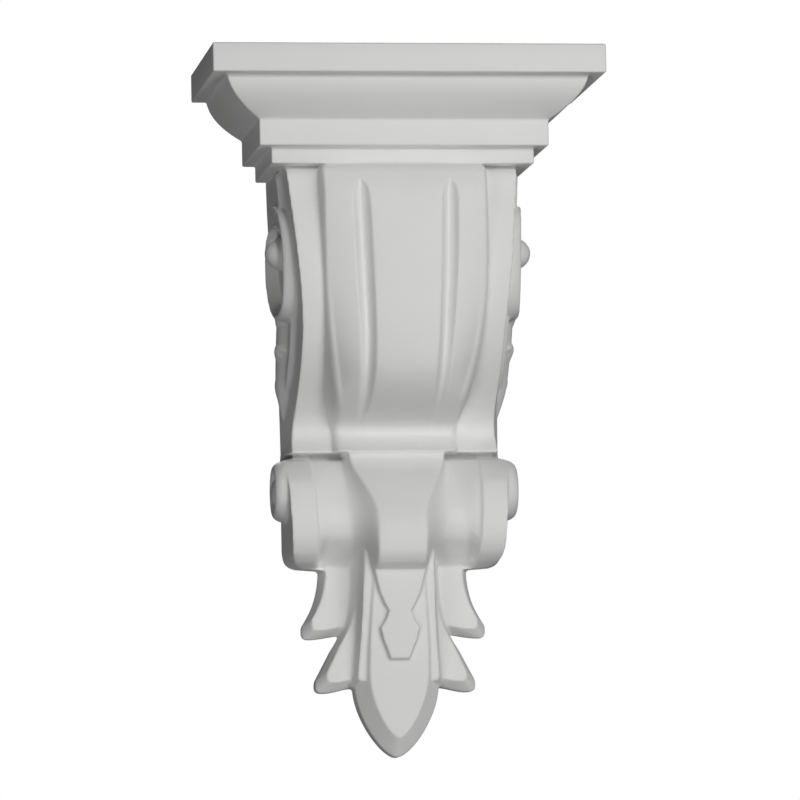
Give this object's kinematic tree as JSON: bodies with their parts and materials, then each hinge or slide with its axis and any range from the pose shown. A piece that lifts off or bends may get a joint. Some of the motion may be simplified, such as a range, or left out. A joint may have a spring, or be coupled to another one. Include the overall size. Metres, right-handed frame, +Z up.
{
  "type": "corbel",
  "caption": "Carved wall corbel cast in one piece: stepped cap over a scrolled bracket with a fluted belly, a roll with round eyes and a leaf hanging below.",
  "frame": {"origin": "on the flat back face, on the centre line, halfway up the height", "axes": "+Z up, the back face normal is +Y and lies in the wall plane y = 0, the front looks along -Y, +X to the viewer's right"},
  "size_m": [0.1906, 0.099, 0.3384],
  "materials": {
    "primed_urethane": "factory primed, soft satin white"
  },
  "bodies": {
    "root": {"corbel": "primed_urethane"}
  },
  "joints": []
}
